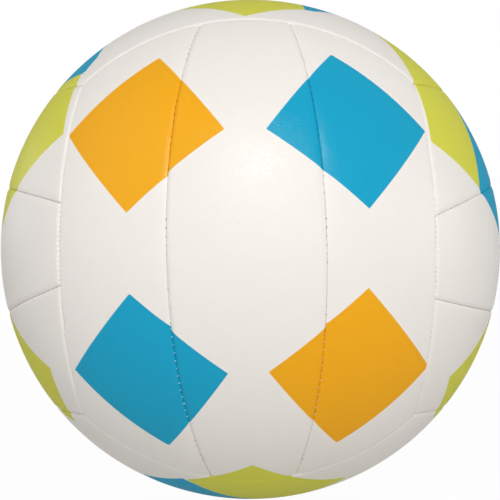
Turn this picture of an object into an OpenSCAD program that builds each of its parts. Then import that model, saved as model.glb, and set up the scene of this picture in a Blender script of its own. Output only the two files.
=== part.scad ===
// Volleyball with a sewn cover. Six groups of three strips make the cover. Each strip is a
// synthetic leather skin with rolled, turned-in edges over a foam and cloth backing, and the
// strips are sewn round an air bladder whose rubber valve shows in a hole in the back.
// Millimetres, +Z up, -Y towards the viewer, origin at the centre of the ball, valve on +Y.

/* [Ball] */
// Diameter of the blown-up ball, which is 660 mm round
ball_d = 210; // [200:1:215]
// Angle from the middle of a group to its side seam, measured across the strips
group_half_angle = 37.56; // [36.5:0.02:39.5]
// Angle from the middle of a group to its two inner seams
strip_half_angle = 14; // [11:0.5:17]
// Turn of a group's inner seams about its middle, anticlockwise from outside
strip_twist = 1; // [0:0.25:2]

/* [Cover] */
// Thickness of the synthetic leather skin
skin_t = 0.8; // [0.6:0.1:1.2]
// Thickness of the foam and cloth backing under the skin
backing_t = 2.8; // [2.2:0.1:4]
// Radius of a skin's rolled edge along a seam
edge_r = 2.4; // [1.8:0.1:3.2]
// Angle at which a rolled edge runs out on to the ball's surface
edge_crease = 10; // [6:1:16]
// Gap between the turned-in edges of two skins
seam_gap = 0.2; // [0.1:0.05:0.4]
// Diameter of the sewing thread that lies in each seam
thread_d = 0.7; // [0.4:0.05:0.9]

/* [Bladder] */
// Thickness of the rubber bladder
bladder_t = 0.7; // [0.5:0.1:1.2]
// Room between the blown-up bladder and the backing
bladder_gap = 0.3; // [0.1:0.05:0.5]

/* [Valve] */
// Diameter of the inflation needle's channel
needle_d = 2; // [1.8:0.1:2.4]
// Diameter of the soft core that grips the needle
core_d = 4.4; // [4:0.1:4.8]
// Length of the core without its foot
core_l = 11.5; // [9:0.5:14]
// Diameter of the core's foot, which keeps it in the valve
core_foot_d = 5.6; // [5.2:0.1:6]
// Thickness of the core's foot
core_foot_t = 1.5; // [1:0.1:2]
// Diameter of the funnel that leads the needle in
funnel_d = 3.2; // [2.8:0.1:3.6]
// Depth of the funnel
funnel_h = 0.8; // [0.5:0.1:1.2]
// Diameter of the valve's collar, which shows in the cover
collar_d = 6.8; // [6:0.1:7.6]
// Depth of the collar's face below the ball's surface
collar_recess = 0.5; // [0.3:0.05:1]
// Diameter of the valve's flange, which is bonded to the bladder
flange_d = 26; // [20:1:32]
// Thickness of the valve's flange
flange_t = 1; // [0.6:0.1:1.2]
// Diameter of the valve's stem inside the bladder
stem_d = 9; // [8:0.1:11]
// Wall left under the core's foot at the tip of the stem
stem_tip_t = 2; // [1.5:0.1:3]
// Diameter of the air hole through the tip of the stem
air_hole_d = 2.4; // [2:0.1:3]
// Diameter of the washer that backs the skin round the valve hole
washer_d = 16; // [13:0.5:20]
// Thickness of the washer
washer_t = 0.5; // [0.3:0.05:0.8]

/* [Hidden] */
$fn = 144;

// Half turns and directions that the angles below are worked out from
RIGHT_ANGLE = 90;
HALF_TURN = 180;

// Length of a group's corner direction along each axis, because eight corners make a cube
CORNER_SHARE = 1 / sqrt(3);

GROUPS = ["front", "back", "right", "left", "top", "bottom"];
// Turn that takes each group from its own frame to its place on the ball
GROUP_TURNS = [[0, 0, -90], [0, 0, 90], [90, 0, 0], [90, 180, 0], [180, -90, 0], [0, 90, 0]];
// Strips of each group, in the order of their side: -1, 0 and 1
STRIPS = [
    ["left", "centre", "right"],
    ["right", "centre", "left"],
    ["lower", "centre", "upper"],
    ["upper", "centre", "lower"],
    ["back", "centre", "front"],
    ["front", "centre", "back"]
];
VALVE_GROUP = 1;
SIDES = [-1, 0, 1];
// Kinds of seam at the edges of a strip
INNER_SEAM = 0;
SIDE_SEAM = 1;
END_SEAM = 2;
ALL_GROUPS = [0 : len(GROUPS) - 1];

function strip_name(group, side) = str(GROUPS[group], "_", STRIPS[group][side + 1]);
// The four seams of a strip on side 0 or 1: each one's kind, and whether it is half turned
function strip_seams(side) = [
    [INNER_SEAM, false],
    side == 0 ? [INNER_SEAM, true] : [SIDE_SEAM, false],
    [END_SEAM, false],
    [END_SEAM, true]
];
function panel_name(group, side) = str(strip_name(group, side), "_panel");
function backing_name(group, side) = str(strip_name(group, side), "_backing");
function thread_name(group) = str(GROUPS[group], "_seam_thread");

// Clearance between glued faces, such as a skin and its backing
bond_gap = 0.05;
// Clearance between a thread and the two rolled edges that it lies on
thread_gap = 0.05;
// Gap between a thread's end and the thread that it meets
thread_end_gap = 0.6;
// Clearance round the collar, the core and the stem
valve_gap = 0.05;
// How far a cut runs past what it cuts
overrun = 1;

ball_r = ball_d / 2;
cover_t = skin_t + bond_gap + backing_t;
lining_r = ball_r - cover_t;
bladder_r = lining_r - bladder_gap;
// Distance out to which a tool that cuts the cover reaches
reach = 2 * ball_d;

// A side seam lies on a cone about an axis that leans away from the group by seam_tilt.
// The cone goes through two corners and through the middle of the group's side.
seam_tilt = atan((sin(group_half_angle) - CORNER_SHARE) / (cos(group_half_angle) - CORNER_SHARE));
seam_cone = RIGHT_ANGLE - group_half_angle + seam_tilt;

// Angle from a seam's axis within which the strip beside it lies
function keep_angle(seam) =
    seam == INNER_SEAM ? RIGHT_ANGLE : seam == SIDE_SEAM ? HALF_TURN - seam_cone : seam_cone;

// Centre of the circle that rolls an edge: how far out it lies, and how far from the seam
roll_r = ball_r - edge_r * cos(edge_crease);
roll_side = edge_r * cos(edge_crease) + seam_gap / 2;
roll_angle = asin(roll_side / roll_r);

// The thread lies on the two rolled edges
thread_seat = sqrt(pow(edge_r + thread_d / 2 + thread_gap, 2) - pow(roll_side, 2));
thread_r = roll_r * cos(roll_angle) + thread_seat;
thread_trim = (thread_d / 2 + thread_end_gap) / ball_r * HALF_TURN / PI;

// Angle across a group at its corners, and how far a strip's blank, a seam's tool and the
// stretch that the tool takes away run past them
CORNER_AZIMUTH = 45;
blank_margin = 6;
tool_span = 66;
tool_margin = 26;

// Angle about a side seam's axis from its middle to its corner
side_seam_end = atan(1 / (cos(seam_tilt) + sin(seam_tilt)));

// Angle along an inner seam from its middle to the end seam at its end 1 or -1
function inner_seam_end(end) =
    let (
        across = cos(strip_half_angle) * cos(seam_tilt)
            - end * sin(strip_half_angle) * sin(strip_twist) * sin(seam_tilt),
        along = cos(strip_twist) * sin(seam_tilt)
    )
    acos(cos(seam_cone) / norm([across, along])) - atan(along / across);

// Angle from the middle of a group to its end seams
longest_seam_end = seam_cone - seam_tilt;

// Heights along the valve's axis, from the centre of the ball
collar_face = ball_r - collar_recess;
core_foot_top = collar_face - core_l;
core_foot_end = core_foot_top - core_foot_t;
stem_end = core_foot_end - valve_gap - stem_tip_t;
flange_in_r = bladder_r + bond_gap;
flange_out_r = flange_in_r + flange_t;
washer_out_r = ball_r - skin_t - bond_gap;
washer_in_r = washer_out_r - washer_t;
valve_hole_d = collar_d + 2 * valve_gap;
// The stem narrows over this length to this diameter at its tip
stem_taper_h = stem_tip_t + core_foot_t;
stem_tip_d = core_foot_d + stem_tip_t;

// Point at a distance from the ball's centre, at an angle from the axis of a turned shape
function on_arc(distance, angle) = [distance * sin(angle), distance * cos(angle)];

// Takes a shape from a group's own frame, in which +X leaves the ball through the middle of
// the group and +Z runs along its strips, to the group's place on the ball
module place_group(group) {
    rotate(GROUP_TURNS[group])
        children();
}

// Half turn about the middle of a group, which changes over its ends and its sides
module half_turn(on) {
    rotate([on ? HALF_TURN : 0, 0, 0])
        children();
}

// Lays a shape made along +Z on the line through the middle of a group
module on_group_middle() {
    rotate([0, RIGHT_ANGLE, 0])
        children();
}

// Stands a turned shape on the axis of a seam, so that a strip lies within the seam's
// keep_angle of its +Z and the middle of the seam is towards its +X. The side seam is at +Y,
// the inner seam at +Y and the end seam at +Z.
module on_seam_axis(seam, side) {
    if (seam == END_SEAM)
        rotate([HALF_TURN, seam_tilt - RIGHT_ANGLE, 0])
            children();
    else if (seam == SIDE_SEAM)
        rotate([0, 0, seam_tilt])
            rotate([RIGHT_ANGLE, 0, 0])
                children();
    else
        rotate([strip_twist, 0, 0])
            rotate([0, 0, strip_half_angle])
                rotate([side == 0 ? RIGHT_ANGLE : -RIGHT_ANGLE, 0, 0])
                    children();
}

// Part of a ring round a seam's axis, on both sides of the middle of the seam
module along_seam() {
    rotate([0, 0, -tool_span])
        rotate_extrude(angle = 2 * tool_span)
            children();
}

// What lies past a seam's wall, which stands off the seam by half the gap and by depth
module past_wall(keep_angle, depth) {
    inset = seam_gap / 2 + depth;
    off_seam = inset * [-cos(keep_angle), sin(keep_angle)];
    inner = lining_r - depth - 2 * overrun;
    along_seam()
        polygon([
            on_arc(inner, keep_angle) + off_seam,
            on_arc(reach, keep_angle) + off_seam,
            on_arc(reach, keep_angle + tool_margin),
            on_arc(inner, keep_angle + tool_margin)
        ]);
}

// What the rolled edge takes off the corner between the ball's surface and a seam's wall
module over_roll(keep_angle, depth) {
    roll_centre = on_arc(roll_r, keep_angle - roll_angle);
    outer = ball_r + overrun;
    along_seam()
        difference() {
            polygon([
                roll_centre,
                on_arc(roll_r * cos(roll_angle), keep_angle),
                on_arc(outer, keep_angle),
                on_arc(outer, keep_angle - roll_angle)
            ]);
            translate(roll_centre)
                circle(r = edge_r - depth);
        }
}

// Cuts its children at the first seams of a strip, one seam after another, either back to
// the walls or by the rolled edges
module cut_at_seams(side, depth, rolled, seams_left = 4) {
    if (seams_left == 0)
        children();
    else {
        seam = strip_seams(side)[seams_left - 1];
        difference() {
            cut_at_seams(side, depth, rolled, seams_left - 1)
                children();
            half_turn(seam[1])
                on_seam_axis(seam[0], side)
                    if (rolled)
                        over_roll(keep_angle(seam[0]), depth);
                    else
                        past_wall(keep_angle(seam[0]), depth);
        }
    }
}

// Piece of the cover's thickness that is a little larger than a strip
module strip_blank(side, outer_r, inner_r) {
    first = (side == 0 ? -strip_half_angle : strip_half_angle) - blank_margin;
    last = (side == 0 ? strip_half_angle : CORNER_AZIMUTH) + blank_margin;
    top = longest_seam_end + blank_margin;
    rotate([0, 0, first])
        rotate_extrude(angle = last - first)
            intersection() {
                difference() {
                    circle(r = outer_r);
                    circle(r = inner_r);
                }
                polygon([
                    [0, 0],
                    reach * [cos(top), -sin(top)],
                    reach * [cos(top), sin(top)]
                ]);
            }
}

// A strip of the cover as a block, with its top and its walls moved in by depth. Sides 1 and
// -1 are the same block at a half turn, and side 0 is the middle strip.
module strip_block(side, depth) {
    half_turn(side < 0)
        cut_at_seams(abs(side), depth, true)
            cut_at_seams(abs(side), depth, false)
                strip_blank(abs(side), ball_r - depth, lining_r - (depth == 0 ? 0 : overrun));
}

// Ring with the ball's curve between two radii, round the middle of a group
module curved_disc(inner_r, outer_r, diameter) {
    intersection() {
        difference() {
            sphere(r = outer_r);
            sphere(r = inner_r);
        }
        cylinder(h = reach, d = diameter);
    }
}

// Skin of one strip, with its turned-in edges
module panel(group, side) {
    color("whitesmoke")
        place_group(group)
            difference() {
                strip_block(side, 0);
                strip_block(side, skin_t);
                if (group == VALVE_GROUP && side == 0)
                    on_group_middle()
                        cylinder(h = reach, d = valve_hole_d);
            }
}

// Foam and cloth under the skin of one strip
module backing(group, side) {
    color("lightgray")
        place_group(group)
            difference() {
                strip_block(side, skin_t + bond_gap);
                sphere(r = lining_r);
                if (group == VALVE_GROUP && side == 0)
                    on_group_middle() {
                        cylinder(h = reach, d = valve_hole_d);
                        curved_disc(bladder_r, flange_out_r + bond_gap, flange_d + 2 * valve_gap);
                        curved_disc(washer_in_r - bond_gap, ball_r, washer_d + 2 * valve_gap);
                    }
            }
}

// Sewing thread in a group's two side seams and two inner seams
module seam_thread(group) {
    color("white")
        place_group(group)
            for (turned = [false, true])
                half_turn(turned) {
                    on_seam_axis(SIDE_SEAM)
                        thread(HALF_TURN - seam_cone, side_seam_end, side_seam_end);
                    on_seam_axis(INNER_SEAM, 0)
                        thread(RIGHT_ANGLE, inner_seam_end(-1), inner_seam_end(1));
                }
}

// Thread along a seam, to its two ends, from where the seam crosses the group's middle line
module thread(seam_angle, end_before, end_after) {
    sweep = end_before + end_after - 2 * thread_trim;
    rotate([0, 0, thread_trim - end_before])
        rotate_extrude(angle = sweep)
            translate(on_arc(thread_r, seam_angle))
                circle(d = thread_d);
}

// Rubber bladder, open where the valve's stem goes in
module bladder() {
    color("dimgray")
        place_group(VALVE_GROUP)
            on_group_middle()
                difference() {
                    sphere(r = bladder_r);
                    sphere(r = bladder_r - bladder_t);
                    cylinder(h = reach, d = stem_d + 2 * valve_gap);
                }
}

// Rubber valve: a collar in the cover, a flange on the bladder and a stem inside it
module valve_body() {
    color("darkslategray")
        place_group(VALVE_GROUP)
            on_group_middle()
                difference() {
                    union() {
                        translate([0, 0, flange_in_r - flange_t])
                            cylinder(h = collar_face - flange_in_r + flange_t, d = collar_d);
                        curved_disc(flange_in_r, flange_out_r, flange_d);
                        translate([0, 0, stem_end + stem_taper_h])
                            cylinder(h = flange_in_r - stem_end - stem_taper_h, d = stem_d);
                        translate([0, 0, stem_end])
                            cylinder(h = stem_taper_h, d1 = stem_tip_d, d2 = stem_d);
                    }
                    core_shape(valve_gap);
                    translate([0, 0, stem_end - overrun])
                        cylinder(h = stem_tip_t + 2 * overrun, d = air_hole_d);
                }
}

// Outline of the core, grown by gap to make its seat, which is open to the outside
module core_shape(gap) {
    translate([0, 0, core_foot_end - gap])
        cylinder(h = core_foot_t + 2 * gap, d = core_foot_d + 2 * gap);
    translate([0, 0, core_foot_end])
        cylinder(h = core_foot_t + core_l + (gap > 0 ? overrun : 0), d = core_d + 2 * gap);
}

// Soft plug that closes on the needle's channel
module valve_core() {
    color("black")
        place_group(VALVE_GROUP)
            on_group_middle()
                difference() {
                    core_shape(0);
                    translate([0, 0, core_foot_end - overrun])
                        cylinder(h = core_foot_t + core_l + 2 * overrun, d = needle_d);
                    translate([0, 0, collar_face - funnel_h])
                        cylinder(h = funnel_h, d1 = needle_d, d2 = funnel_d);
                }
}

// Washer that backs the skin round the valve hole
module valve_washer() {
    color("gray")
        place_group(VALVE_GROUP)
            on_group_middle()
                difference() {
                    curved_disc(washer_in_r, washer_out_r, washer_d);
                    cylinder(h = reach, d = valve_hole_d);
                }
}

for (group = ALL_GROUPS)
    for (side = SIDES) {
        panel(group, side);
        backing(group, side);
    }
for (group = ALL_GROUPS)
    seam_thread(group);
bladder();
valve_body();
valve_core();
valve_washer();
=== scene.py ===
"""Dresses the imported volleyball: its printed cover, its sewn seams, its valve and the studio."""
import logging
import math
from collections.abc import Callable, Iterable
from dataclasses import dataclass
from enum import Enum

import bmesh
import bpy
import numpy as np
from bmesh.types import BMEdge, BMesh, BMVert
from bpy.types import Material, Mesh, Node, NodeSocket, NodeTree, Object
from mathutils import Matrix, Vector


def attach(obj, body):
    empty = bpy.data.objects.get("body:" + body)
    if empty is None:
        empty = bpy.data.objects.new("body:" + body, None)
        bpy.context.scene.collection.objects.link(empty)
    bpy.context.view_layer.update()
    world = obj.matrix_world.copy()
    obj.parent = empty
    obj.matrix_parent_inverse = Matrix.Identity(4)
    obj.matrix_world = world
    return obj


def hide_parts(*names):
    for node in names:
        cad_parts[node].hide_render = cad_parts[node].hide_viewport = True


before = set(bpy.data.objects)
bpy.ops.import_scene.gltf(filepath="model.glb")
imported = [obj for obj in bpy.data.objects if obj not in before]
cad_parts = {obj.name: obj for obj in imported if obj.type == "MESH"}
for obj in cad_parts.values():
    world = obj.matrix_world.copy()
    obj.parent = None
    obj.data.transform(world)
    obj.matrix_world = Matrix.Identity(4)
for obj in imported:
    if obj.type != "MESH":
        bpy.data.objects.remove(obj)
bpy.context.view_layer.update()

MM = 0.001
LOG = logging.getLogger("volleyball")
Array = np.ndarray

# Sizes that part.scad gives the ball, in millimetres and degrees
BALL_RADIUS = 105.0
GROUP_HALF_ANGLE = 37.56
STRIP_HALF_ANGLE = 14.0
STRIP_TWIST = 1.0
LINING_RADIUS = 101.35

# How far apart the strips are drawn, and how far apart the stitches of the front's and the back's
# inner seams and of all the other seams lie, in millimetres
SEAM_GAP = 0.06
STITCH_PITCH = 2.8
RIM_PITCH = 1.9

# Stands for a distance from a seam that a strip hasn't
FAR = 99.0

# Lengths in millimetres and phases of the waves that the width of a rolled edge sways by
SWAYS = ((3.1, 0.7), (5.3, 2.1), (1.7, 0.0))
# Depth of a rolled edge, in millimetres, at which the puckers in it are whole
PUCKER_DEPTH = 0.25

# Where the search for a strip's corner starts, in radians, and how many rounds it takes
CORNER_START = 0.3
CORNER_ROUNDS = 60

# Sockets of a Mix node's colours
MIX_A, MIX_B, MIX_RESULT = 6, 7, 2
WHITE = "FFFFFF"


def linear(hex_colour: str) -> tuple[float, float, float, float]:
    """Turns an sRGB hex colour into the linear colour that a socket takes.

    Args:
        hex_colour: Six hex digits, with or without a hash sign.

    Returns:
        Linear red, green and blue, and an alpha of one.
    """
    digits = hex_colour.lstrip("#")
    shares = [int(digits[i:i + 2], 16) / 255 for i in (0, 2, 4)]
    return tuple(c / 12.92 if c <= 0.04045 else ((c + 0.055) / 1.055) ** 2.4 for c in shares) + (1.0,)


def add_node(tree: NodeTree, kind: str, links: dict | None = None, **settings: object) -> Node:
    """Adds a node with its settings and links.

    Args:
        tree: Node tree that gets the node.
        kind: Type of the node.
        links: Input name or number to an output socket, or to the value that it keeps.
        **settings: Properties of the node.

    Returns:
        The new node.
    """
    node = tree.nodes.new(kind)
    for name, value in settings.items():
        setattr(node, name, value)
    for name, source in (links or {}).items():
        socket = node.inputs[name]
        if isinstance(source, NodeSocket):
            tree.links.new(source, socket)
        else:
            socket.default_value = source
    return node


def new_material(name: str) -> tuple[Material, Node]:
    """Makes a node material.

    Args:
        name: Name of the real material.

    Returns:
        The material, and its Principled shader.
    """
    material = bpy.data.materials.new(name)
    material.use_nodes = True
    return material, material.node_tree.nodes["Principled BSDF"]


def coordinates(tree: NodeTree) -> NodeSocket:
    """Place of each point in its object."""
    return add_node(tree, "ShaderNodeTexCoord").outputs["Object"]


def ramp(
    tree: NodeTree,
    value: NodeSocket,
    source: tuple[float, float],
    target: tuple[float, float] = (0.0, 1.0),
    kind: str = "SMOOTHSTEP",
) -> NodeSocket:
    """Turns one span of numbers into another.

    Args:
        tree: Node tree that gets the node.
        value: Number to turn.
        source: Ends of the span that it comes from.
        target: Ends of the span that it goes to.
        kind: How it runs between the ends.

    Returns:
        The turned number.
    """
    ends = dict(zip(("From Min", "From Max", "To Min", "To Max"), source + target))
    turned = add_node(tree, "ShaderNodeMapRange", {"Value": value, **ends}, interpolation_type=kind)
    return turned.outputs["Result"]


def mix_colours(
    tree: NodeTree, share: NodeSocket, under: object, over: object, blend: str = "MIX"
) -> NodeSocket:
    """Lays one colour over another by a share."""
    links = {"Factor": share, MIX_A: under, MIX_B: over}
    return add_node(tree, "ShaderNodeMix", links, data_type="RGBA", blend_type=blend).outputs[MIX_RESULT]


def raised(tree: NodeTree, relief: NodeSocket, height: float, strength: float = 1.0) -> Node:
    """Adds a bump whose height is in millimetres."""
    return add_node(tree, "ShaderNodeBump", {"Strength": strength, "Distance": height * MM, "Height": relief})


class Group(Enum):
    """A group of three strips: its name, the way out through its middle and the way along it."""

    FRONT = ("front", (0, -1, 0), (0, 0, 1), ("left", "centre", "right"))
    BACK = ("back", (0, 1, 0), (0, 0, 1), ("right", "centre", "left"))
    RIGHT = ("right", (1, 0, 0), (0, -1, 0), ("lower", "centre", "upper"))
    LEFT = ("left", (-1, 0, 0), (0, -1, 0), ("upper", "centre", "lower"))
    TOP = ("top", (0, 0, 1), (1, 0, 0), ("back", "centre", "front"))
    BOTTOM = ("bottom", (0, 0, -1), (1, 0, 0), ("front", "centre", "back"))

    @property
    def title(self) -> str:
        """Name of the group in the CAD nodes."""
        return self.value[0]

    @property
    def axes(self) -> Array:
        """Rows out through the middle, across the strips and along them."""
        out, along = np.array(self.value[1], float), np.array(self.value[2], float)
        return np.array([out, np.cross(along, out), along])

    @property
    def is_taut(self) -> bool:
        """Whether the group is the front or the back one, whose seams are pulled tighter."""
        return self in (Group.FRONT, Group.BACK)

    def strip(self, side: int) -> str:
        """Name of the strip on side -1, 0 or 1."""
        return f"{self.title}_{self.value[3][side + 1]}"

    def spots(self, *places: tuple[float, float]) -> tuple[Array, ...]:
        """Directions of places on the group, each given in degrees across the strips and along them."""
        angles = [(math.radians(across), math.radians(along)) for across, along in places]
        return tuple(towards(across / math.cos(along), along) @ self.axes for across, along in angles)


class Ink(Enum):
    """Inks of the printed diamonds, with the attribute that says how deep in a diamond a point lies."""

    ORANGE = ("print_orange", "F2AB10")
    BLUE = ("print_blue", "0CA0C6")
    GREEN = ("print_green", "D7D64C")


def towards(azimuth: Array, elevation: Array) -> Array:
    """Directions in a group's own axes from angles in radians.

    Args:
        azimuth: Angles across the strips.
        elevation: Angles along the strips.

    Returns:
        Unit vectors, out, across and along.
    """
    azimuth, elevation = np.broadcast_arrays(azimuth, elevation)
    return np.stack(
        [np.cos(elevation) * np.cos(azimuth), np.cos(elevation) * np.sin(azimuth), np.sin(elevation)], axis=-1
    )


# What a half turn about the way out through a group's middle does to a direction
HALF_TURNED = np.array([1.0, -1.0, -1.0])


@dataclass(frozen=True)
class SeamPlan:
    """Where the seams of one group run. All the groups are alike."""

    half_angle: float = math.radians(GROUP_HALF_ANGLE)
    strip_angle: float = math.radians(STRIP_HALF_ANGLE)
    twist: float = math.radians(STRIP_TWIST)

    @property
    def tilt(self) -> float:
        """Lean of the axis of a side seam, whose cone passes through two corners of the group."""
        corner = 1 / math.sqrt(3)
        return math.atan((math.sin(self.half_angle) - corner) / (math.cos(self.half_angle) - corner))

    @property
    def cone(self) -> float:
        """Half angle of the cone that a side seam or an end seam lies on."""
        return math.pi / 2 - self.half_angle + self.tilt

    @property
    def inner_normal(self) -> Array:
        """Normal of the plane of the inner seam on the positive side."""
        s, c = math.sin(self.strip_angle), math.cos(self.strip_angle)
        return np.array([-s, c * math.cos(self.twist), c * math.sin(self.twist)])

    @property
    def side_axis(self) -> Array:
        """Axis of the side seam's cone on the positive side."""
        return np.array([-math.sin(self.tilt), math.cos(self.tilt), 0.0])

    @property
    def end_axis(self) -> Array:
        """Axis of the end seam's cone at the positive end."""
        return np.array([math.cos(self.tilt), 0.0, -math.sin(self.tilt)])

    def inner_azimuth(self, elevation: Array, inset: float) -> Array:
        """Azimuth of the inner seam on the positive side, moved outwards by an inset in radians."""
        normal = self.inner_normal
        reach = math.hypot(normal[0], normal[1])
        lift = (math.sin(inset) - normal[2] * np.sin(elevation)) / (reach * np.cos(elevation))
        return math.atan2(-normal[0], normal[1]) + np.arcsin(lift)

    def side_azimuth(self, elevation: Array, inset: float) -> Array:
        """Azimuth of the side seam on the positive side, moved inwards by an inset in radians."""
        return self.tilt + np.arcsin(math.cos(self.cone + inset) / np.cos(elevation))

    def end_elevation(self, azimuth: Array, inset: float) -> Array:
        """Elevation of the end seam at the positive end, moved inwards by an inset in radians."""
        out = np.cos(azimuth) * math.cos(self.tilt)
        rise = math.sin(self.tilt)
        return np.arccos(math.cos(self.cone - inset) / np.hypot(out, rise)) - np.arctan2(rise, out)


@dataclass(frozen=True)
class SeamDrift:
    """How far a group's inner seams stray across from their planes, as the sewing pulls them.

    Each seam has its millimetres at the negative end, in the middle and at the positive end.
    """

    before: tuple[float, float, float] = (0.0, 0.0, 0.0)
    after: tuple[float, float, float] = (0.0, 0.0, 0.0)

    def moved(self, points: Array, plan: SeamPlan) -> Array:
        """Moves points of the ball along with the inner seams. The group's rim stays.

        Args:
            points: Unit vectors in the group's axes.
            plan: Where the seams would run.

        Returns:
            The moved unit vectors.
        """
        azimuth, elevation = np.arctan2(points[:, 1], points[:, 0]), np.arcsin(np.clip(points[:, 2], -1, 1))
        first, second = -plan.inner_azimuth(-elevation, 0.0), plan.inner_azimuth(elevation, 0.0)
        rim = plan.side_azimuth(elevation, 0.0)
        far = (elevation / plan.half_angle) ** 2
        end = np.where(elevation > 0, 2, 0)
        low, high = (
            (np.array(ends)[end] * far + ends[1] * (1 - far)) / (BALL_RADIUS * np.cos(elevation))
            for ends in (self.before, self.after)
        )
        share = np.clip((azimuth - first) / (second - first), 0, 1)
        outside = np.where(azimuth < 0, (rim + azimuth) / (rim + first), (rim - azimuth) / (rim - second))
        turned = azimuth + (low * (1 - share) + high * share) * np.clip(outside, 0, 1)
        rise = plan.end_elevation(turned, 0.0) / plan.end_elevation(azimuth, 0.0)
        return towards(turned, elevation * rise)


DRIFTS = {
    Group.FRONT: SeamDrift(before=(0.3, -0.1, 0.0), after=(0.0, 0.3, 0.7)),
    Group.LEFT: SeamDrift(before=(0.55, -0.3, 0.55), after=(-0.5, 1.6, -0.5)),
    Group.RIGHT: SeamDrift(before=(0.0, -0.3, 0.0), after=(-0.8, 2.0, -0.8)),
}


@dataclass(frozen=True)
class EdgeProfile:
    """How a skin rolls in at a seam, in millimetres: in soft curves, over a lip, pulled in at each stitch.

    Each curve has its width and its depth.
    """

    curves: tuple[tuple[float, float], ...]
    lip: float = 0.0
    lip_width: float = 0.18
    waviness: float = 0.12
    pucker: float = 0.10
    pucker_reach: float = 1.3
    pitch: float = STITCH_PITCH

    def drop(self, off_seam: Array, along_seam: Array) -> Array:
        """How far the skin lies below the ball's surface.

        Args:
            off_seam: Distances from the seam.
            along_seam: Distances along it, from its middle.

        Returns:
            Depths, in millimetres.
        """
        off = np.maximum(off_seam, 0.0)
        sway = sum(np.sin(along_seam / length + phase) for length, phase in SWAYS)
        over = np.maximum(1 - off / self.lip_width, 0.0)
        rolled = self.lip * (1 - np.sqrt(1 - over**2))
        for usual_width, depth in self.curves:
            width = usual_width * (1 + self.waviness * sway / len(SWAYS))
            radius = (width**2 + depth**2) / (2 * depth)
            rolled = rolled + radius - np.sqrt(radius**2 - np.maximum(width - off, 0.0) ** 2)
        stitch = np.cos(2 * np.pi * along_seam / self.pitch) * np.exp(-off / self.pucker_reach)
        return rolled + self.pucker * stitch * np.minimum(1.0, rolled / PUCKER_DEPTH)


@dataclass(frozen=True)
class GroupEdges:
    """The edges of a group's strips: flank and centre strip at the inner seams, all at the group's rim."""

    flank: EdgeProfile
    centre: EdgeProfile
    outer: EdgeProfile


# The flank strips roll in softly at the inner seams and the centre strip turns in sharply there
TAUT = GroupEdges(
    flank=EdgeProfile(((6.2, 0.50), (1.8, 0.25)), lip=0.10, pucker=0.06),
    centre=EdgeProfile(((2.8, 0.34), (1.6, 0.44)), lip=0.06, pucker=0.05),
    outer=EdgeProfile(((1.1, 0.65),), waviness=0.20, pucker=0.02),
)
PUFFED = GroupEdges(
    flank=EdgeProfile(
        ((3.4, 0.42), (1.2, 0.12)), lip=0.20, waviness=0.08, pucker=0.08, pucker_reach=0.8, pitch=RIM_PITCH
    ),
    centre=EdgeProfile(
        ((2.2, 0.50),), lip=0.20, waviness=0.08, pucker=0.08, pucker_reach=0.8, pitch=RIM_PITCH
    ),
    outer=EdgeProfile(((1.8, 0.80),), waviness=0.10, pucker=0.25, pucker_reach=0.6, pitch=RIM_PITCH),
)


@dataclass(frozen=True)
class Diamond:
    """A printed shape with great-circle edges.

    A strip on which the print lies askew at one edge has its own two points of that edge in askew.
    """

    ink: Ink
    corners: tuple[Array, ...]
    askew: tuple[tuple[str, int, Array, Array], ...] = ()

    def depth(self, points: Array, strip: str) -> Array:
        """How deep in the shape each direction lies, in millimetres on the ball.

        Args:
            points: Unit vectors from the middle of the ball.
            strip: Name of the strip that the points lie on.

        Returns:
            Distances to the nearest edge, negative outside.
        """
        middle = sum(self.corners)
        moved = {edge: ends for name, edge, *ends in self.askew if name == strip}
        depths = []
        for edge, ends in enumerate(zip(self.corners, self.corners[1:] + self.corners[:1])):
            corner, after = moved.get(edge, ends)
            normal = np.cross(corner, after)
            normal = normal / np.linalg.norm(normal) * np.sign(normal @ middle)
            depths.append(np.arcsin(np.clip(points @ normal, -1, 1)))
        return np.min(depths, axis=0) * BALL_RADIUS

    def mirrored(self) -> "Diamond":
        """The same shape on the back, as a mirror would show it."""
        back = np.array([1.0, -1.0, 1.0])
        askew = tuple((strip, edge, first * back, second * back) for strip, edge, first, second in self.askew)
        return Diamond(self.ink, tuple(corner * back for corner in self.corners), askew)


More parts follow.
